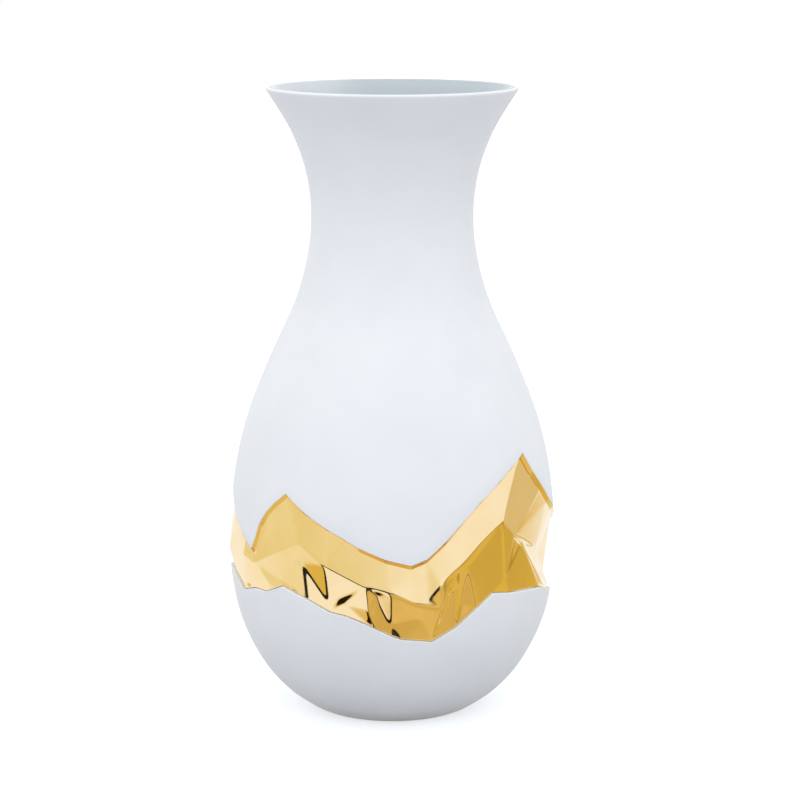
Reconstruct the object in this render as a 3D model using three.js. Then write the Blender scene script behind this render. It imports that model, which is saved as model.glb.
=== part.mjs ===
// A porcelain vase: a matt white baluster body with a rolled lip, a crumpled gold band set into its
// belly, and a glossy glaze lining the inside. Millimetres, +Z up, the foot's centre at the origin.
// Angles are in degrees round the axis, from the front (-Y) towards the right (+X).
import * as THREE from "three";

// Driving dimensions.
const WALL = 4.5; // porcelain wall in the belly
const LIP_WALL = 3; // porcelain wall just under the lip
const LIP_TAPER_FROM = 190; // the wall thins from this height up to the lip
const FLOOR = 7; // top of the porcelain floor
const FLOOR_RADIUS = 33; // its flat part
const FOOT_OUTER = 32; // ground foot ring, outer radius
const FOOT_INNER = 26; // ground foot ring, inner radius
const RECESS_RADIUS = 22; // flat middle of the underside
const RECESS = 2.5; // its depth above the foot ring
const GOLD = 0.6; // gold layer
const GAP = 0.35; // clearance between neighbouring pieces
const GLAZE = 0.5; // glaze layer
const EDGE_DROP = 0.5; // the gold starts this far below the white edge above it
const GOLD_SINK = 0.8; // the gold's lower rim lies this far behind the white edge below it
const SHOULDER_DROP = 1.7; // height of the narrow strip that turns in under the upper edge
const SHOULDER_DEPTH = 1.3; // how far that strip turns in
const COLUMNS = 48;

// Outside profile: height, radius. The lip's rounded edge follows the last point.
const PROFILE = [
  [0, 32], [2, 36], [9, 45.5], [20, 54.9], [37, 63.3], [54, 67.3], [70, 68.3], [88, 67.4],
  [106, 65], [126, 59.8], [150, 50.2], [172, 40.2], [192, 34.8], [209, 33.5], [226, 35.7],
  [241, 41], [250, 46], [256.5, 50.2],
];
const NECK_TOP = 256.5;
const BEAD = { height: 259.2, radius: 50.9, size: 0.8 }; // the lip's rounded outer edge
const CREST = [[49, 259.9], [48.1, 259.3]]; // the lip's flat top and inner corner: radius, height

// The band's creases, from its upper edge down: angle, height, stand-off from the profile. Where
// there is a fourth number, the point before goes on meeting the crease above up to that angle.
const UPPER_EDGE = [
  [-172, 84], [-161, 91], [-151, 98], [-141, 104], [-131, 110.5], [-122, 106], [-112, 102.5],
  [-101, 99], [-90, 95], [-78, 90], [-71, 84], [-64, 79], [-57.5, 74.5], [-55, 80], [-53, 86],
  [-49.5, 91.5], [-45.5, 96], [-40.5, 100.5], [-31.5, 94], [-23.5, 89],
  [-17, 85.5], [-11.5, 82], [-2, 77.5], [6.5, 75], [12, 77.5], [18.5, 84], [23.5, 89.5],
  [32, 98], [41.5, 105], [48.5, 109.5], [57, 114], [62, 105.5], [68, 98.5], [75, 91.5],
  [84, 86], [93, 80], [101, 75], [109, 80], [117, 87], [126, 93.5], [135, 99], [143, 104],
  [151, 97], [160, 90], [169, 84.5], [178, 81],
];
const RIDGE = [
  [-173, 67, 1], [-161, 74, 1], [-149, 81, 1], [-137, 88.5, 1], [-127, 95, 1.5], [-117, 88, 1],
  [-106, 79, 0.5], [-95, 73, 0.5], [-82, 68, 0.5], [-61.5, 72, 0.8], [-55.5, 69.5, -0.5],
  [-33.5, 82, 0.3], [-22.5, 74.5, 2.2], [-9, 66.5, 1], [-0.5, 64, 1], [8, 59, 0.5],
  [12.5, 61, 0.4], [16.5, 67.5, 1.2], [23.5, 74.5, 1], [30.5, 82, 1], [40.5, 90.5, 1.5],
  [48, 82.5, -1, 58], [71, 71.5, -5.5, 83], [86, 65, -7.5], [99, 63, -2], [112, 69, 1],
  [124, 76, 1], [136, 84, 1], [145, 87.5, 1.5], [154, 79, 1], [165, 70.5, 1], [177, 65, 1],
];
const FOLD = [
  [-178, 57, -1.5], [-168, 65, 0.5], [-163, 58, -2], [-152, 70, 0.5], [-144, 62, -1.5],
  [-134, 77, 0.5], [-125, 68, -1.5], [-112, 75, 0.5], [-103, 64, -2], [-91, 66, -0.5],
  [-76, 63, -0.5], [-61.5, 59.5, 0], [-48, 62, -1], [-41, 64, -1.5], [-31.5, 73.5, -0.5],
  [-22.5, 59.5, -0.6], [-18, 60.6, 0], [-17, 58.8, -1.1, -8.9], [-8, 57.5, 0.9],
  [-5.5, 63.5, -0.1], [-0.5, 50, -1.3], [10, 52.5, -0.6, 7.9], [17.5, 57, 1.6, 8.5],
  [21.5, 70, 0], [24.5, 57.5, -2], [26, 72.5, 0], [42.5, 65, -0.4], [51, 79, -0.5], [82, 57, -6],
  [97, 55, -3], [108, 62, 0], [118, 62, -2], [129, 74, 0.5], [138, 65, -2], [149, 74, 0.5],
  [158, 62, -1.5], [170, 62.5, 0.5],
];
const LOWER_EDGE = [
  [-172, 46], [-163, 49], [-154, 54.5], [-144, 58], [-135, 62], [-125, 58], [-114, 61],
  [-103, 56.5], [-92, 59.5], [-80.5, 62], [-65.5, 55.5], [-56, 58.5], [-49.5, 58.5],
  [-41, 62.5], [-30.5, 59, 0, -31.6], [-21.5, 54.5], [-16, 53.5], [-9, 50.5], [-5.5, 48.5],
  [0.5, 45, -0.5], [3.5, 44], [14.5, 42.5], [23, 48], [30.5, 55], [37, 60.5], [45.5, 59],
  [65, 56.5], [75.5, 52.5],
  [88, 50], [99, 47], [110, 52.5], [121, 56.5], [132, 60], [143, 57.5], [154, 54], [165, 50.5],
  [176, 46.5],
];

// The inner wall gives way behind the deepest dent of the band.
const DENT = { angle: 82, height: 63, depth: 8, halfWidth: 18, halfHeight: 16 };

function spread(from, to, count) {
  return Array.from({ length: count }, (_, i) => from + ((to - from) * i) / (count - 1));
}

// Radius of the outside at a height: a cubic through PROFILE, with each point's slope taken
// from its neighbours.
function slopeAt(i) {
  const before = PROFILE[Math.max(i - 1, 0)];
  const after = PROFILE[Math.min(i + 1, PROFILE.length - 1)];
  return (after[1] - before[1]) / (after[0] - before[0]);
}

function outerRadius(height) {
  const found = PROFILE.findIndex((point, i) => i > 0 && height <= point[0]);
  const i = (found < 0 ? PROFILE.length - 1 : found) - 1;
  const [z0, r0] = PROFILE[i];
  const [z1, r1] = PROFILE[i + 1];
  const span = z1 - z0;
  const t = (height - z0) / span;
  const s = 1 - t;
  const along = r0 * (1 + 2 * t) * s * s + r1 * (3 - 2 * t) * t * t;
  return along + span * t * s * (slopeAt(i) * s - slopeAt(i + 1) * t);
}

// A ring is a list of points in order of angle.
function ringPoint(angle, radius, height) {
  const turn = THREE.MathUtils.degToRad(angle);
  return {
    angle,
    place: new THREE.Vector3(radius * Math.sin(turn), -radius * Math.cos(turn), height),
  };
}

const COLUMN_ANGLES = Array.from({ length: COLUMNS }, (_, i) => -180 + (360 * i) / COLUMNS);
const INSIDE_HEIGHTS = spread(254, 5, 20);

function roundRing(radius, height) {
  return COLUMN_ANGLES.map((angle) => ringPoint(angle, radius, height));
}

function pole(height) {
  return [{ angle: 0, place: new THREE.Vector3(0, 0, height) }];
}

function creaseRing(crease, outward, upward = 0) {
  return crease.map(([angle, height, standOff = 0, meets = angle]) => ({
    ...ringPoint(angle, outerRadius(height) + standOff + outward, height + upward),
    meets,
  }));
}

// Height of a crease at any angle, straight between its points.
function creaseHeight(crease, angle) {
  const next = crease.findIndex((point) => point[0] > angle);
  const b = next < 0 ? crease[0] : crease[next];
  const a = next > 0 ? crease[next - 1] : crease[crease.length - 1];
  const width = (b[0] - a[0] + 360) % 360;
  const share = ((angle - a[0] + 360) % 360) / width;
  return a[1] + (b[1] - a[1]) * share;
}

// A ring of the white surface part of the way from a crease to a level height.
function blendedRing(crease, level, share) {
  return COLUMN_ANGLES.map((angle) => {
    const height = THREE.MathUtils.lerp(creaseHeight(crease, angle), level, share);
    return ringPoint(angle, outerRadius(height), height);
  });
}

function dentDepth(angle, height) {
  const across = (angle - DENT.angle) / DENT.halfWidth;
  const along = (height - DENT.height) / DENT.halfHeight;
  return DENT.depth * Math.exp(-across * across - along * along);
}

// Rings of the inside wall from the lip down to the floor: points of the outside profile, moved
// square to it by the wall's depth and that of any layer on the wall.
function insideRings(layer) {
  const rings = INSIDE_HEIGHTS.map((height) => {
    const taper = THREE.MathUtils.smoothstep(height, LIP_TAPER_FROM, NECK_TOP);
    const depth = THREE.MathUtils.lerp(WALL, LIP_WALL, taper) + layer;
    const slope = (outerRadius(height + 0.1) - outerRadius(height - 0.1)) / 0.2;
    const length = Math.hypot(1, slope);
    const inHeight = height + (depth * slope) / length;
    const inRadius = outerRadius(height) - depth / length;
    return COLUMN_ANGLES.map((angle) =>
      ringPoint(angle, inRadius - dentDepth(angle, height), inHeight));
  });
  return [...rings, roundRing(FLOOR_RADIUS, FLOOR + layer), pole(FLOOR + layer)];
}

// Twice a triangle's area when the wall is unrolled flat, in degrees times millimetres.
function unrolledArea(a, b, c) {
  return (b.angle - a.angle) * (c.place.z - a.place.z) - (c.angle - a.angle) * (b.place.z - a.place.z);
}

function meanHeight(ring) {
  return ring.reduce((sum, point) => sum + point.place.z, 0) / ring.length;
}

// Joins two rings with a strip of triangles. Each step goes to whichever next point comes first,
// unless its triangle would fold back over the strip, and where two come together it takes the
// shorter diagonal.
function addStrip(triangles, below, above) {
  const upward = Math.sign(meanHeight(above) - meanHeight(below));
  const ordered = (ring, isLower) => {
    const points = ring.map((point) => ({
      ...point,
      order: isLower && point.meets !== undefined ? point.meets : point.angle,
    }));
    return [...points, { ...points[0], angle: points[0].angle + 360, order: points[0].order + 360 }];
  };
  const [low, high] = [ordered(below, upward > 0), ordered(above, upward < 0)];
  const lowSteps = below.length > 1 ? below.length : 0;
  const highSteps = above.length > 1 ? above.length : 0;
  let i = 0;
  let j = 0;
  while (i < lowSteps || j < highSteps) {
    const [a, b] = [low[i], high[j]];
    const nextA = i < lowSteps ? low[i + 1] : null;
    const nextB = j < highSteps ? high[j + 1] : null;
    let stepLow = nextB === null;
    if (nextA !== null && nextB !== null) {
      stepLow = nextA.order < nextB.order;
      if (nextA.order === nextB.order) {
        stepLow = nextA.place.distanceTo(b.place) < a.place.distanceTo(nextB.place);
      }
      if (stepLow && upward * unrolledArea(a, nextA, b) < 0) {
        stepLow = false;
      } else if (!stepLow && upward * unrolledArea(a, nextB, b) < 0) {
        stepLow = true;
      }
    }
    triangles.push(a, stepLow ? nextA : nextB, b);
    i += stepLow ? 1 : 0;
    j += stepLow ? 0 : 1;
  }
}

// A closed solid through its rings in turn. A loop joins its last ring to its first.
function ringSolid(rings, loop = false) {
  const triangles = [];
  rings.slice(1).forEach((ring, i) => addStrip(triangles, rings[i], ring));
  if (loop) {
    addStrip(triangles, rings[rings.length - 1], rings[0]);
  }
  const geometry = new THREE.BufferGeometry().setFromPoints(triangles.map((point) => point.place));
  geometry.computeVertexNormals();
  return geometry;
}

// The band's surface from its lower rim up, set back by a depth.
function bandRings(depth) {
  return [
    creaseRing(LOWER_EDGE, -GOLD_SINK - depth, GAP),
    creaseRing(FOLD, -depth),
    creaseRing(RIDGE, -depth),
    creaseRing(UPPER_EDGE, -SHOULDER_DEPTH - depth, -SHOULDER_DROP),
    creaseRing(UPPER_EDGE, -GAP - depth, -EDGE_DROP),
  ];
}

function lipRings() {
  const edge = spread(-36, 90, 8).map((degrees) => {
    const turn = THREE.MathUtils.degToRad(degrees);
    return roundRing(BEAD.radius + BEAD.size * Math.cos(turn), BEAD.height + BEAD.size * Math.sin(turn));
  });
  return [...edge, ...CREST.map(([radius, height]) => roundRing(radius, height))];
}

function porcelainBody() {
  const lowerTop = 34;
  const upperBottom = 124;
  return ringSolid([
    pole(RECESS),
    roundRing(RECESS_RADIUS, RECESS),
    roundRing(FOOT_INNER, 0),
    roundRing(FOOT_OUTER, 0),
    ...[2, 5, 9, 14, 20, 27, lowerTop].map((height) => roundRing(outerRadius(height), height)),
    blendedRing(LOWER_EDGE, lowerTop, 0.5),
    creaseRing(LOWER_EDGE, 0),
    creaseRing(LOWER_EDGE, -GOLD_SINK - GOLD - GAP),
    ...bandRings(GOLD + GAP),
    creaseRing(UPPER_EDGE, -GOLD - 2 * GAP),
    creaseRing(UPPER_EDGE, 0),
    blendedRing(UPPER_EDGE, upperBottom, 0.3),
    blendedRing(UPPER_EDGE, upperBottom, 0.65),
    ...spread(upperBottom, NECK_TOP, 16).map((height) => roundRing(outerRadius(height), height)),
    ...lipRings(),
    ...insideRings(0),
  ]);
}

function goldBand() {
  return ringSolid([...bandRings(0), ...bandRings(GOLD).reverse()], true);
}

function innerGlaze() {
  const outside = insideRings(GAP).reverse();
  const inside = insideRings(GAP + GLAZE);
  return ringSolid([...outside, ...inside]);
}

function piece(name, geometry, color, roughness, metalness) {
  const mesh = new THREE.Mesh(
    geometry,
    new THREE.MeshStandardMaterial({ color, roughness, metalness }),
  );
  mesh.name = name;
  return mesh;
}

const vase = new THREE.Group();
vase.add(piece("porcelain_body", porcelainBody(), "#e6eaf0", 0.6, 0));
vase.add(piece("gold_band", goldBand(), "#dba93c", 0.1, 1));
vase.add(piece("inner_glaze", innerGlaze(), "#e3e9ee", 0.1, 0));

export default vase;
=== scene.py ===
"""A porcelain vase with a crumpled gold band round its belly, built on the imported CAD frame.

Shapes are made of rings: for each ring, a radius and a height in millimetres at every column
angle. Angles are in degrees round the axis, from the front (-Y) towards the right (+X). The
gold's facets and both white edges come from the frame's own gold_band node.
"""
import math

import bpy
import numpy as np
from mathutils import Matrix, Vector


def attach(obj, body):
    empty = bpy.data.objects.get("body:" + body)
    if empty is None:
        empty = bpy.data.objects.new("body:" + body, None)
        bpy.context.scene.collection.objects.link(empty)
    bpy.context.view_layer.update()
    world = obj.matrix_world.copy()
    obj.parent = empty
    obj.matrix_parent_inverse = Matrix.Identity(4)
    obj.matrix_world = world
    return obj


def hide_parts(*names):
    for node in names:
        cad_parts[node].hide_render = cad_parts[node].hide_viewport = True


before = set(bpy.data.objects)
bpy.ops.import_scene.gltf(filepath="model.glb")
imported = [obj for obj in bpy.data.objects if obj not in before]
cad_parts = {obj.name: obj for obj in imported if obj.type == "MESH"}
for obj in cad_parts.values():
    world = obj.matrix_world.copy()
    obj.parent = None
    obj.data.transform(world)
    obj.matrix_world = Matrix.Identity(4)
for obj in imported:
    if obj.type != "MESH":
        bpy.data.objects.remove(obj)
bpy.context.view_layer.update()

MM = 0.001
TINY = 1e-6

# Driving dimensions in millimetres, the same as the CAD part's. Heights come first in PROFILE.
PROFILE = np.array([
    (0, 32), (2, 36), (9, 45.5), (20, 54.9), (37, 63.3), (54, 67.3), (70, 68.3), (88, 67.4),
    (106, 65), (126, 59.8), (150, 50.2), (172, 40.2), (192, 34.8), (209, 33.5), (226, 35.7),
    (241, 41), (250, 46), (256.5, 50.2),
])
NECK_TOP = 256.5
BEAD_HEIGHT, BEAD_RADIUS, BEAD_SIZE = 259.2, 50.9, 0.8  # the lip's rounded outer edge
WALL, LIP_WALL, LIP_TAPER_FROM = 4.5, 3.0, 190
FLOOR, FLOOR_RADIUS = 7.0, 33.0
FOOT_OUTER, FOOT_INNER, RECESS_RADIUS, RECESS = 32.0, 26.0, 22.0, 2.5
GOLD, GAP, GLAZE = 0.6, 0.35, 0.5
EDGE_DROP = 0.5  # the gold starts this far below the white edge above it
DENT_ANGLE, DENT_HEIGHT, DENT_DEPTH, DENT_WIDTH, DENT_REACH = 82, 63, 8, 18, 16

# Sizes of the look only, in millimetres. Radii come first in CREST and GLAZE_START.
CREST = [(50.1, 259.99), (49.7, 259.8), (49, 259.55), (48.3, 258.9), (47.6, 258.2)]
GLAZE_START = [
    (47.7, 258.5), (48.4, 259.1), (49.1, 259.7), (49.75, 259.92), (49.2, 259.93),
    (48.6, 259.75), (48.15, 259.3), (47.7, 258.75), (47.1, 258.2),
]
GLAZE_GAP = 0.105  # between the inside wall and the shown glaze
GOLD_RISE = 0.45  # the shown gold reaches this much closer to the white edge above it
STRIP = 1.2  # the narrow strip under its upper edge starts this far below the CAD gold's top
EDGE_ROUNDING = 0.25  # radius of the white edges beside the gold
LEDGE_FLAT = 0.3  # how far in from such an edge its ledge has a second ring
LOWER_LEDGE = 0.5  # how much deeper the ledge is below the gold than above it
CREASE_ROUNDING = 0.8  # how far the gold's creases are softened
RIM_ROUNDING = 0.1  # the same beside its upper edge
RIM_DEPTHS = 1.6, 3.6  # the one gives way to the other between these depths below that edge
FACET_SWELL = 0.2  # how far the gold's facets swell from flat (0) to following the belly (1)
CREASE_STEP, RIM_STEP = 0.25, 0.125  # spacing of the two fields, in degrees and millimetres
FIELD_MARGIN = 4  # how far the fields go past the gold, up and down
PROBE = 0.35  # how far off a crisp crease the gold is sampled

# How finely the shapes are divided.
COLUMNS = 720
ANGLES = -180 + 360 / COLUMNS * np.arange(COLUMNS)
LOWER_ROWS, SEAT_ROWS, UPPER_ROWS = 22, 26, 35  # of the outside below, behind and above the gold
CROWDING = 1.4  # rows crowd towards the foot, and inside towards the lip, by this power
INSIDE_ROWS = 20
INSIDE_TOP, INSIDE_BOTTOM = 254, 5  # the inside wall follows the outside between these heights
BAND_ROWS = 92  # rings of the gold's front from its lower rim up to the strip's foot
BACK_STEP = 4  # the gold's back has every fourth row of its front
CRISP_RINGS = 0, BAND_ROWS - 1, BAND_ROWS  # the gold's lower rim, the strip's foot and its top


def smooth(value, low, high):
    t = np.clip((value - low) / (high - low), 0, 1)
    return t * t * (3 - 2 * t)


def outer_radius(height):
    """Radius of the outside: a cubic through PROFILE, each slope taken from its neighbours."""
    heights, radii = PROFILE[:, 0], PROFILE[:, 1]
    last = len(heights) - 1
    before = np.clip(np.arange(last + 1) - 1, 0, last)
    after = np.clip(np.arange(last + 1) + 1, 0, last)
    slopes = (radii[after] - radii[before]) / (heights[after] - heights[before])
    height = np.asarray(height, float)
    i = np.clip(np.searchsorted(heights, height) - 1, 0, last - 1)
    span = heights[i + 1] - heights[i]
    t = (height - heights[i]) / span
    s = 1 - t
    along = radii[i] * (1 + 2 * t) * s * s + radii[i + 1] * (3 - 2 * t) * t * t
    return along + span * t * s * (slopes[i] * s - slopes[i + 1] * t)


# ---- The gold's shape, read from the frame ----

def band_corners():
    """Corners of the gold's triangles in millimetres, as an array of (triangle, corner, xyz)."""
    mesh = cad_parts["gold_band"].data
    mesh.calc_loop_triangles()
    places = np.array([v.co for v in mesh.vertices]) / MM
    corners = np.array([t.vertices for t in mesh.loop_triangles])
    return places[corners]


def angles_of(corners):
    """Angles of triangle corners, unwrapped so that no triangle spans the back seam."""
    angle = np.degrees(np.arctan2(corners[..., 0], -corners[..., 1]))
    angle = np.where(angle - angle[:, :1] > 180, angle - 360, angle)
    return np.where(angle - angle[:, :1] < -180, angle + 360, angle)


def rim_heights(corners):
    """The gold's highest and lowest point at every column."""
    angle, height = angles_of(corners), corners[..., 2]
    top, bottom = np.full(COLUMNS, -np.inf), np.full(COLUMNS, np.inf)
    for a, b in ((0, 1), (1, 2), (2, 0)):
        for turn in (-360, 0, 360):
            start, end = angle[:, a] + turn, angle[:, b] + turn
            span = np.where(np.abs(end - start) < TINY, TINY, end - start)
            t = (ANGLES[None, :] - start[:, None]) / span[:, None]
            z = height[:, a, None] + (height[:, b] - height[:, a])[:, None] * t
            inside = (t > -TINY) & (t < 1 + TINY)
            top = np.maximum(top, np.where(inside, z, -np.inf).max(0))
            bottom = np.minimum(bottom, np.where(inside, z, np.inf).min(0))
    return top, bottom


class Field:
    """The gold's distance outside the profile, on a grid over angle and height."""

    def __init__(self, corners, rounding, step):
        self.rounding, self.step = rounding, step
        self.low = corners[..., 2].min() - FIELD_MARGIN
        high = corners[..., 2].max() + FIELD_MARGIN
        self.rows = int((high - self.low) / self.step) + 1
        self.columns = int(360 / self.step)
        raw = np.full((self.rows, self.columns), -np.inf)
        for corner, angle in zip(corners, angles_of(corners)):
            self.add_facet(raw, corner, angle)
        covered = np.isfinite(raw)
        values, weights = self.blurred(np.where(covered, raw, 0)), self.blurred(covered * 1.0)
        self.values = values / np.maximum(weights, TINY)

    def steps(self, values, origin):
        """The grid lines that lie between the lowest and the highest value."""
        first = math.ceil((values.min() - origin) / self.step - TINY)
        last = math.floor((values.max() - origin) / self.step + TINY)
        return np.arange(first, last + 1)

    def add_facet(self, raw, corner, angle):
        """Writes a triangle of the gold's front into the grid, where it lies outermost."""
        normal = np.cross(corner[1] - corner[0], corner[2] - corner[0])
        height = corner[:, 2]
        one_turn, one_rise = angle[1] - angle[0], height[1] - height[0]
        two_turn, two_rise = angle[2] - angle[0], height[2] - height[0]
        area = one_turn * two_rise - two_turn * one_rise
        columns, rows = self.steps(angle, -180), self.steps(height, self.low)
        if area < 1e-3 or len(columns) == 0 or len(rows) == 0:
            return
        turn, z = np.meshgrid(columns * self.step - 180, rows * self.step + self.low)
        one = ((turn - angle[0]) * two_rise - two_turn * (z - height[0])) / area
        two = (one_turn * (z - height[0]) - (turn - angle[0]) * one_rise) / area
        inside = (one > -TINY) & (two > -TINY) & (one + two < 1 + TINY)
        facing = normal[0] * np.sin(np.radians(turn)) - normal[1] * np.cos(np.radians(turn))
        facing = np.where(np.abs(facing) < TINY, TINY, facing)
        flat = (normal @ corner[0] - normal[2] * z) / facing - outer_radius(z)
        at_corners = np.hypot(corner[:, 0], corner[:, 1]) - outer_radius(height)
        along_one, along_two = at_corners[1:] - at_corners[0]
        swollen = at_corners[0] + one * along_one + two * along_two
        distance = flat + FACET_SWELL * (swollen - flat)
        row, column = np.nonzero(inside)
        places = (row + rows[0], (column + columns[0]) % self.columns)
        np.maximum.at(raw, places, distance[row, column])

    def blurred(self, grid):
        across = self.rounding / (math.radians(self.step) * PROFILE[:, 1].max())
        along = self.rounding / self.step
        for axis, size in ((1, across), (0, along)):
            reach = math.ceil(3 * size)
            offsets = np.arange(-reach, reach + 1)
            weights = np.exp(-0.5 * (offsets / size) ** 2)
            weights /= weights.sum()
            grid = sum(w * np.roll(grid, o, axis) for o, w in zip(offsets, weights))
        return grid

    def at(self, height):
        """The distance at every column, for one height in each column."""
        column = np.round((ANGLES + 180) / self.step).astype(int) % self.columns
        place = np.clip((height - self.low) / self.step, 0, self.rows - 1.001)
        row = place.astype(int)
        share = place - row
        return self.values[row, column] * (1 - share) + self.values[row + 1, column] * share


corners = band_corners()
gold_top, gold_bottom = rim_heights(corners)
upper_edge, lower_edge = gold_top + EDGE_DROP, gold_bottom - GAP
creases = Field(corners, CREASE_ROUNDING, CREASE_STEP)
rim = Field(corners, RIM_ROUNDING, RIM_STEP)


# ---- Rings ----

def level(radius, height):
    """A round, level ring."""
    return np.full(COLUMNS, float(radius)), np.full(COLUMNS, float(height))


def on_profile(height, outward=0.0):
    """A ring on the outside profile or moved out from it, at one height or at one per column."""
    height = np.broadcast_to(np.asarray(height, float), (COLUMNS,))
    return outer_radius(height) + outward, height


def on_band(height, outward=0.0):
    """A ring on the gold's surface or moved out from it."""
    radius, height = on_profile(height)
    inner = smooth(gold_top - height, *RIM_DEPTHS)
    stand_off = rim.at(height) * (1 - inner) + creases.at(height) * inner
    return radius + stand_off + outward, height


def carried_on(start, step, height):
    """A ring at a height, on the straight line through the gold at start and at start + step."""
    slope = (rim.at(start + step) - rim.at(start)) / step
    return on_profile(height, rim.at(start) + slope * (height - start))


def inside_ring(height, layer):
    """The inside wall: the outside profile moved in, square to it, by the wall and a layer."""
    slope = (outer_radius(height + 0.1) - outer_radius(height - 0.1)) / 0.2
    length = math.hypot(1, slope)
    depth = WALL + (LIP_WALL - WALL) * smooth(height, LIP_TAPER_FROM, NECK_TOP) + layer
    across = (ANGLES - DENT_ANGLE) / DENT_WIDTH
    along = (height - DENT_HEIGHT) / DENT_REACH
    dent = DENT_DEPTH * np.exp(-across ** 2 - along ** 2)
    inner_height = np.full(COLUMNS, height + depth * slope / length)
    return outer_radius(height) - depth / length - dent, inner_height


def inside_rings(layer):
    """Rings from the lip down to the floor, closer together near the lip."""
    shares = np.linspace(0, 1, INSIDE_ROWS) ** CROWDING
    heights = INSIDE_TOP + (INSIDE_BOTTOM - INSIDE_TOP) * shares
    floor = [level(radius, FLOOR + layer) for radius in (FLOOR_RADIUS, FLOOR_RADIUS / 2)]
    return [inside_ring(height, layer) for height in heights] + floor


def foot_rings():
    """The recess, its rounded wall and the foot ring with its two rounded edges."""
    outline = [
        (RECESS_RADIUS / 2, RECESS), (RECESS_RADIUS - 1, RECESS),
        (RECESS_RADIUS + 0.4, RECESS - 0.12), (RECESS_RADIUS + 1.6, RECESS - 0.8),
        (FOOT_INNER - 1, 0.55), (FOOT_INNER - 0.2, 0.12), (FOOT_INNER + 0.6, 0),
        (FOOT_OUTER - 0.8, 0), (FOOT_OUTER - 0.1, 0.1),
    ]
    return [level(radius, height) for radius, height in outline]


def corner_rings(edge, side):
    """A rounded white edge and its ledge. side is 1 for the edge below the gold, -1 above it."""
    rings = []
    for degrees in (0, 30, 60, 90):
        turn = math.radians(degrees)
        fall = EDGE_ROUNDING * (1 - math.sin(turn))
        draw = EDGE_ROUNDING * (1 - math.cos(turn))
        rings.append(on_profile(edge - side * fall, -draw))
    ledge = GOLD + 2 * GAP + (LOWER_LEDGE if side > 0 else 0)
    rings += [on_profile(edge, -EDGE_ROUNDING - LEDGE_FLAT), on_profile(edge, -ledge)]
    return rings if side > 0 else rings[::-1]


def bead_ring(degrees):
    turn = math.radians(degrees)
    radius = BEAD_RADIUS + BEAD_SIZE * math.cos(turn)
    return level(radius, BEAD_HEIGHT + BEAD_SIZE * math.sin(turn))


def lip_rings():
    bead = [bead_ring(degrees) for degrees in (-36, -12, 12, 36, 60, 90)]
    return bead + [level(radius, height) for radius, height in CREST]


def rows_between(make_ring, low, high, shares):
    return [make_ring(low + (high - low) * share) for share in shares]


def seat_ring(height):
    """A ring of the porcelain's crumpled seat behind the gold."""
    return on_band(height, -GOLD - GAP)


def porcelain_rings():
    """From the middle of the underside, up the outside and over the lip, to the inside's floor."""
    foot_top, lower_top = 0.5, lower_edge - EDGE_ROUNDING - 0.1
    lower_shares = np.linspace(0, 1, LOWER_ROWS) ** CROWDING
    seat_shares = np.linspace(0.02, 0.98, SEAT_ROWS)
    upper_shares = np.linspace(0, 1, UPPER_ROWS)[1:]
    return [
        *foot_rings(),
        *rows_between(on_profile, foot_top, lower_top, lower_shares),
        *corner_rings(lower_edge, 1),
        *rows_between(seat_ring, gold_bottom, gold_top, seat_shares),
        *corner_rings(upper_edge, -1),
        *rows_between(on_profile, upper_edge + EDGE_ROUNDING, NECK_TOP, upper_shares),
        *lip_rings(),
        *inside_rings(0),
    ]


def gold_rings():
    """The front rises to a crisp crease and a narrow strip above it, and the back follows it."""
    crease = gold_top - STRIP
    front = rows_between(on_band, gold_bottom, crease, np.linspace(0, 1, BAND_ROWS)[:-1])
    strip = [
        carried_on(crease - PROBE, -PROBE, crease),
        carried_on(crease + PROBE, PROBE, gold_top + GOLD_RISE),
    ]
    back = [(radius - GOLD, height) for radius, height in front[::BACK_STEP] + strip]
    return front + strip + back[::-1]


def glaze_rings():
    """A glossy layer on the inside wall, that starts on the lip, over its inner corner."""
    start = [level(radius, height) for radius, height in GLAZE_START]
    return inside_rings(GLAZE_GAP)[::-1] + start + inside_rings(GAP + GLAZE)


# ---- Pieces ----

def ring_faces(count, loop):
    """Four-sided faces between neighbouring rings, and triangles to both ends unless it's a loop."""
    column = np.arange(COLUMNS)
    following = (column + 1) % COLUMNS
    faces = []
    for i in range(count if loop else count - 1):
        low, high = i * COLUMNS, (i + 1) % count * COLUMNS
        quads = [low + column, low + following, high + following, high + column]
        faces += np.stack(quads, 1).tolist()
    if not loop:
        first, last = count * COLUMNS, count * COLUMNS + 1
        top = (count - 1) * COLUMNS
        faces += [(first, int(b), int(a)) for a, b in zip(column, following)]
        faces += [(last, int(top + a), int(top + b)) for a, b in zip(column, following)]
    return faces


def make_piece(name, rings, node, material, loop=False):
    """A closed mesh through the rings, ended at the axis or joined round on itself."""
    turn = np.radians(ANGLES)
    vertices = np.concatenate([np.stack([r * np.sin(turn), -r * np.cos(turn), z], 1) for r, z in rings])
    if not loop:
        ends = [(0, 0, rings[0][1].mean()), (0, 0, rings[-1][1].mean())]
        vertices = np.concatenate([vertices, ends])
    mesh = bpy.data.meshes.new(name)
    mesh.from_pydata((vertices * MM).tolist(), [], ring_faces(len(rings), loop))
    mesh.polygons.foreach_set("use_smooth", [True] * len(mesh.polygons))
    mesh.materials.append(material)
    piece = bpy.data.objects.new(name, mesh)
    bpy.context.scene.collection.objects.link(piece)
    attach(piece, "root")
    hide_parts(node)
    return piece


def keep_crisp(mesh, rings):
    """Keeps the shading of the faces on the two sides of each ring apart."""
    ends = np.empty(2 * len(mesh.edges), int)
    mesh.edges.foreach_get("vertices", ends)
    ring = ends.reshape(-1, 2) // COLUMNS
    crisp = (ring[:, 0] == ring[:, 1]) & np.isin(ring[:, 0], rings)
    mesh.edges.foreach_set("use_edge_sharp", crisp)


# ---- Materials ----

FLOOR_GLOW = 0.64  # lifts the floor to white in the picture without lighting the vase


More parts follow.
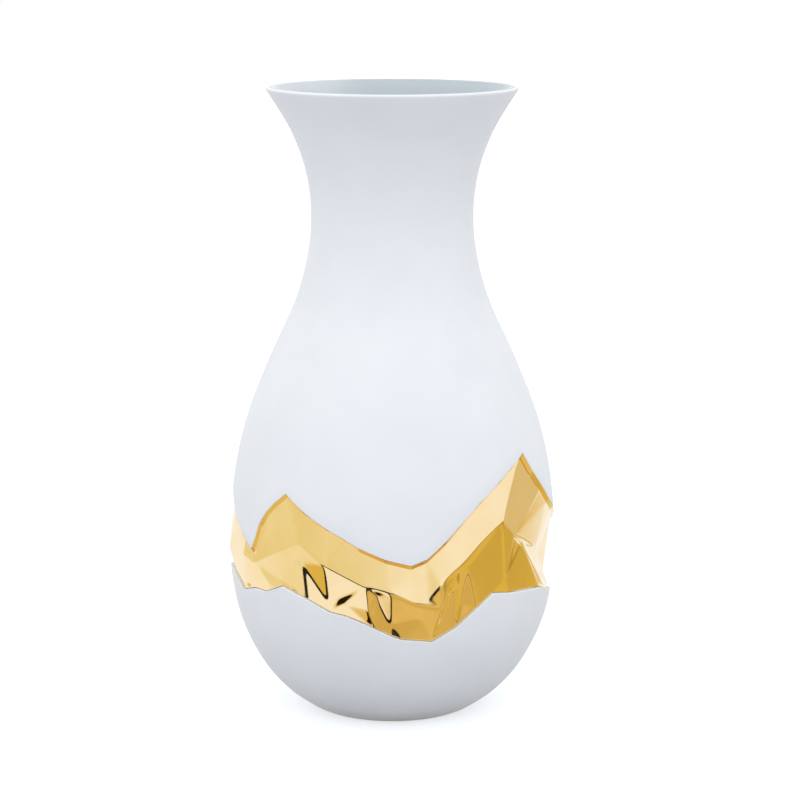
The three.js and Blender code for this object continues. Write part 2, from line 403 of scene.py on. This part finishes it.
class Nodes:
    """A small helper to write node trees as nested calls."""

    def __init__(self, tree):
        self.tree = tree

    def make(self, kind, **settings):
        node = self.tree.nodes.new("ShaderNode" + kind)
        for key, value in settings.items():
            setattr(node, key, value)
        return node

    def put(self, value, socket):
        if isinstance(value, bpy.types.NodeSocket):
            self.tree.links.new(value, socket)
        else:
            socket.default_value = value

    def math(self, operation, a, b=0.0):
        node = self.make("Math", operation=operation)
        self.put(a, node.inputs[0])
        self.put(b, node.inputs[1])
        return node.outputs[0]

    def span(self, value, low, high, start=0.0, end=1.0):
        """start up to low, end from high on, and a smooth run between them."""
        node = self.make("MapRange", interpolation_type="SMOOTHSTEP")
        for socket, number in zip(node.inputs, (value, low, high, start, end)):
            self.put(number, socket)
        return node.outputs[0]

    def mix(self, share, a, b):
        node = self.make("Mix", data_type="RGBA")
        self.put(share, node.inputs[0])
        self.put(a if isinstance(a, bpy.types.NodeSocket) else (*a, 1), node.inputs[6])
        self.put(b if isinstance(b, bpy.types.NodeSocket) else (*b, 1), node.inputs[7])
        return node.outputs[2]

    def noise(self, size, detail=2.0, roughness=0.5):
        """Noise with a feature size in millimetres."""
        where = self.make("TexCoord")
        node = self.make("TexNoise")
        self.put(where.outputs["Object"], node.inputs["Vector"])
        node.inputs["Scale"].default_value = 1 / (size * MM)
        node.inputs["Detail"].default_value = detail
        node.inputs["Roughness"].default_value = roughness
        return node.outputs["Fac"]

    def patches(self, size, detail=2.0, start=0.0, end=1.0):
        """Noise with more contrast, between start and end."""
        return self.span(self.noise(size, detail), 0.3, 0.7, start, end)

    def bump(self, height, depth, normal=None):
        """Surface relief of a depth in millimetres."""
        node = self.make("Bump")
        node.inputs["Strength"].default_value = 1
        node.inputs["Distance"].default_value = depth * MM
        self.put(height, node.inputs["Height"])
        if normal is not None:
            self.put(normal, node.inputs["Normal"])
        return node.outputs["Normal"]


def new_material(name):
    material = bpy.data.materials.new(name)
    material.use_nodes = True
    return material, Nodes(material.node_tree), material.node_tree.nodes["Principled BSDF"].inputs


def porcelain_material():
    material, nodes, shader = new_material("matt_white_porcelain")
    cloud = nodes.noise(26, 3)
    base = nodes.mix(nodes.span(cloud, 0.3, 0.7), (0.80, 0.815, 0.84), (0.825, 0.84, 0.862))
    nodes.put(base, shader["Base Color"])
    nodes.put(nodes.patches(3, 4, 0.5, 0.6), shader["Roughness"])
    shader["Specular IOR Level"].default_value = 0.2
    shader["Sheen Weight"].default_value = 0.35
    shader["Sheen Roughness"].default_value = 0.4
    grain = nodes.bump(nodes.noise(0.7, 3), 0.012)
    nodes.put(nodes.bump(cloud, 0.08, grain), shader["Normal"])
    return material


def gold_material():
    material, nodes, shader = new_material("burnished_gold")
    base = nodes.mix(nodes.patches(9, 3), (0.945, 0.745, 0.435), (0.965, 0.775, 0.475))
    nodes.put(base, shader["Base Color"])
    shader["Metallic"].default_value = 1
    nodes.put(nodes.span(nodes.noise(2.4, 4), 0.35, 0.7, 0.05, 0.1), shader["Roughness"])
    waves = nodes.bump(nodes.noise(7, 1), 0.03)
    nodes.put(nodes.bump(nodes.noise(1.1, 2), 0.0012, waves), shader["Normal"])
    return material


def glaze_material():
    """The glaze is painted darker than the white body, as painted shade inside the neck, and lighter to
    the left of an uneven line, as painted light.
    """
    material, nodes, shader = new_material("clear_gloss_glaze")
    across = nodes.make("SeparateXYZ")
    nodes.put(nodes.make("TexCoord").outputs["Object"], across.inputs[0])
    painted_light_line = nodes.math("ADD", across.outputs[0], nodes.patches(18, 2, 0, 0.012))
    # Both colours are painted shade inside the neck; the lighter one, left of the uneven line, is
    # painted light
    base = nodes.mix(nodes.span(painted_light_line, -0.035, 0.005), (0.60, 0.64, 0.665), (0.47, 0.525, 0.56))
    nodes.put(base, shader["Base Color"])
    nodes.put(nodes.patches(4, 2, 0.05, 0.09), shader["Roughness"])
    nodes.put(nodes.bump(nodes.noise(6, 1), 0.01), shader["Normal"])
    return material


def floor_material():
    material, nodes, shader = new_material("pale_paper")
    base = nodes.mix(nodes.patches(300, 2), (0.48, 0.505, 0.545), (0.50, 0.525, 0.565))
    nodes.put(base, shader["Base Color"])
    shader["Roughness"].default_value = 0.9
    shader["Specular IOR Level"].default_value = 0
    shader["Emission Color"].default_value = (1, 1, 1, 1)
    seen = nodes.make("LightPath").outputs["Is Camera Ray"]
    nodes.put(nodes.math("MULTIPLY", seen, FLOOR_GLOW), shader["Emission Strength"])
    return material


# ---- Light ----

TENT_TINT = (0.98, 0.988, 1.0)
TENT_SLOPE = (-0.02, -0.12, 0.15)  # the tent is brighter towards the front and above
TENT_LEVEL = 1.13

# Colours of what the gold mirrors.
WHITE = (1.0, 1.0, 1.0)
BLACK = (0.0, 0.0, 0.0)
MIDDLE = (0.84, 0.76, 0.43)  # a pale gold card
PALE = (0.88, 0.82, 0.54)  # its lighter parts
TAN = (0.74, 0.63, 0.37)  # a tan card
DEEP = (0.75, 0.55, 0.12)  # an amber card
DUSK = (0.525, 0.375, 0.08)  # its shaded parts
HONEY = (0.79, 0.60, 0.23)  # a paler amber card
STRAW = (0.93, 0.88, 0.66)  # a cream card
BROWN = (0.30, 0.20, 0.04)  # the cards' edges
RIM = (0.72, 0.61, 0.28)  # what the narrow strip under the upper edge mirrors


class Sky(Nodes):
    """Nodes that know a ray's azimuth (0 is the front, 90 the right) and elevation in degrees."""

    def __init__(self, tree):
        super().__init__(tree)
        self.direction = self.make("TexCoord").outputs["Generated"]
        axes = self.make("SeparateXYZ")
        self.put(self.direction, axes.inputs[0])
        x, y, z = axes.outputs
        front = self.math("MULTIPLY", y, -1.0)
        self.azimuth = self.math("DEGREES", self.math("ARCTAN2", x, front))
        self.elevation = self.math("DEGREES", self.math("ARCSINE", z))
        uneven = self.make("TexNoise")
        self.put(self.direction, uneven.inputs["Vector"])
        uneven.inputs["Scale"].default_value = 2.6
        uneven.inputs["Detail"].default_value = 1
        self.drift = self.span(uneven.outputs[0], 0.35, 0.65)

    def chained(self, operation, values):
        result = values[0]
        for value in values[1:]:
            result = self.math(operation, result, value)
        return result

    def product(self, *values):
        return self.chained("MULTIPLY", values)

    def largest(self, *values):
        return self.chained("MAXIMUM", values)

    def between(self, value, low, high, soft):
        """1 from low to high and 0 outside, with edges that are soft to both sides."""
        rise = self.span(value, low - soft, low + soft)
        return self.product(rise, self.span(value, high - soft, high + soft, 1.0, 0.0))

    def patch(self, azimuths, elevations):
        """The same for azimuth and elevation at once, each given as low, high and softness."""
        across = self.between(self.azimuth, *azimuths)
        return self.product(across, self.between(self.elevation, *elevations))


def upper_cards(sky):
    """White, with a pale gold card low on the left and a tan card with a wavy edge on the right."""
    low = sky.mix(sky.span(sky.azimuth, -28, 32), sky.mix(sky.drift, MIDDLE, PALE), WHITE)
    cards = sky.mix(sky.span(sky.elevation, 25, 45), low, WHITE)
    cards = sky.mix(sky.span(sky.azimuth, -140, -112), WHITE, cards)
    wander = sky.math("SUBTRACT", sky.product(sky.drift, 6.0), 3.0)
    wavy = sky.between(sky.math("ADD", sky.elevation, wander), -12, 3, 0.7)
    return sky.mix(sky.product(sky.between(sky.azimuth, 104, 150, 1), wavy), cards, TAN)


def lower_cards(sky):
    """Amber in front, cream on the left and white behind, with a window in front on the left."""
    amber = sky.mix(sky.span(sky.azimuth, 50, 75), HONEY, DEEP)
    amber = sky.mix(sky.product(sky.drift, 0.5), amber, DUSK)
    left = sky.mix(sky.span(sky.elevation, -28, -20), DEEP, STRAW)
    cards = sky.mix(sky.span(sky.azimuth, -70, -60), left, amber)
    behind = sky.mix(sky.span(sky.elevation, -36, -27), RIM, WHITE)
    behind = sky.mix(sky.patch((-158, -110, 2), (-80, -28, 2)), behind, RIM)
    cards = sky.mix(sky.span(sky.azimuth, -105, -88), behind, cards)
    cards = sky.mix(sky.span(sky.azimuth, 120, 150), cards, behind)
    window = sky.mix(sky.span(sky.elevation, -50, -36), HONEY, WHITE)
    cards = sky.mix(sky.patch((-70, -6, 0.5), (-52, 5, 0.5)), cards, window)
    return sky.mix(sky.span(sky.elevation, -70, -62), HONEY, cards)


def window_frame(sky):
    """The window's dark frame, which draws black lines on the gold."""
    return sky.largest(
        sky.patch((-66, 15, 4), (-16, -9, 1)),
        sky.patch((-76.5, -64, 1), (-54, -14, 1)),
        sky.patch((-12, -3.5, 1), (-54, -14, 1)),
        sky.patch((-46, -17, 2), (-66, -48, 1.5)),
    )


def card_edges(sky):
    return sky.largest(sky.patch((45, 100, 4), (-14, -9, 1)), sky.patch((54, 59, 1.5), (-60, -12, 2)))


def mirrored_room(sky, path):
    """The cards above and below a seam that rises by 7 degrees on the right."""
    seam = sky.math("SUBTRACT", sky.elevation, sky.product(sky.between(sky.azimuth, 76, 100, 3), 7.0))
    room = sky.mix(sky.span(seam, -13, -11), lower_cards(sky), upper_cards(sky))
    room = sky.mix(sky.product(card_edges(sky), 0.6), room, BROWN)
    seen_once = sky.math("LESS_THAN", path.outputs["Glossy Depth"], 1.5)
    return sky.mix(sky.product(window_frame(sky), seen_once, 0.98), room, BLACK)


def tent_light(sky):
    slope = sky.make("VectorMath", operation="DOT_PRODUCT")
    sky.put(sky.direction, slope.inputs[0])
    slope.inputs[1].default_value = TENT_SLOPE
    amount = sky.math("ADD", slope.outputs["Value"], TENT_LEVEL)
    tent = sky.make("CombineXYZ")
    for socket, tint in zip(tent.inputs, TENT_TINT):
        sky.put(sky.product(amount, tint), socket)
    return tent.outputs[0]


def make_world():
    """A soft white tent lights the vase. The gold mirrors coloured cards in place of it."""
    world = bpy.data.worlds.new("tent")
    bpy.context.scene.world = world
    world.use_nodes = True
    world.cycles.sampling_method = "NONE"
    sky = Sky(world.node_tree)
    path = sky.make("LightPath")
    seen = sky.mix(path.outputs["Is Glossy Ray"], tent_light(sky), mirrored_room(sky, path))
    seen = sky.mix(path.outputs["Is Camera Ray"], seen, WHITE)
    sky.put(seen, world.node_tree.nodes["Background"].inputs["Color"])


# ---- Floor and camera ----

def make_stage():
    size, drop = 6.0, 0.0001  # in metres
    mesh = bpy.data.meshes.new("floor")
    places = [(x * size, y * size, -drop) for x, y in ((-1, -1), (1, -1), (1, 1), (-1, 1))]
    mesh.from_pydata(places, [], [(0, 1, 2, 3)])
    mesh.materials.append(floor_material())
    floor = bpy.data.objects.new("floor", mesh)
    floor.visible_glossy = False
    bpy.context.scene.collection.objects.link(floor)


def make_camera():
    """In front of the vase, above it and looking slightly down."""
    distance, eye, aim, sideways = 1.1, 0.3325, 0.1296, 0.0032  # in metres
    camera = bpy.data.cameras.new("camera")
    camera.sensor_width = 36
    camera.lens = 120.56
    viewer = bpy.data.objects.new("camera", camera)
    viewer.location = (sideways, -distance, eye)
    viewer.rotation_euler = Vector((0, distance, aim - eye)).to_track_quat("-Z", "Y").to_euler()
    bpy.context.scene.collection.objects.link(viewer)
    bpy.context.scene.camera = viewer


make_piece("porcelain_vase_body", porcelain_rings(), "porcelain_body",
           porcelain_material())
gold = make_piece("crumpled_gold_band", gold_rings(), "gold_band",
                  gold_material(), loop=True)
keep_crisp(gold.data, CRISP_RINGS)
make_piece("glossy_inner_glaze", glaze_rings(), "inner_glaze", glaze_material())
make_stage()
make_world()
make_camera()
bpy.context.scene.view_settings.view_transform = "Standard"
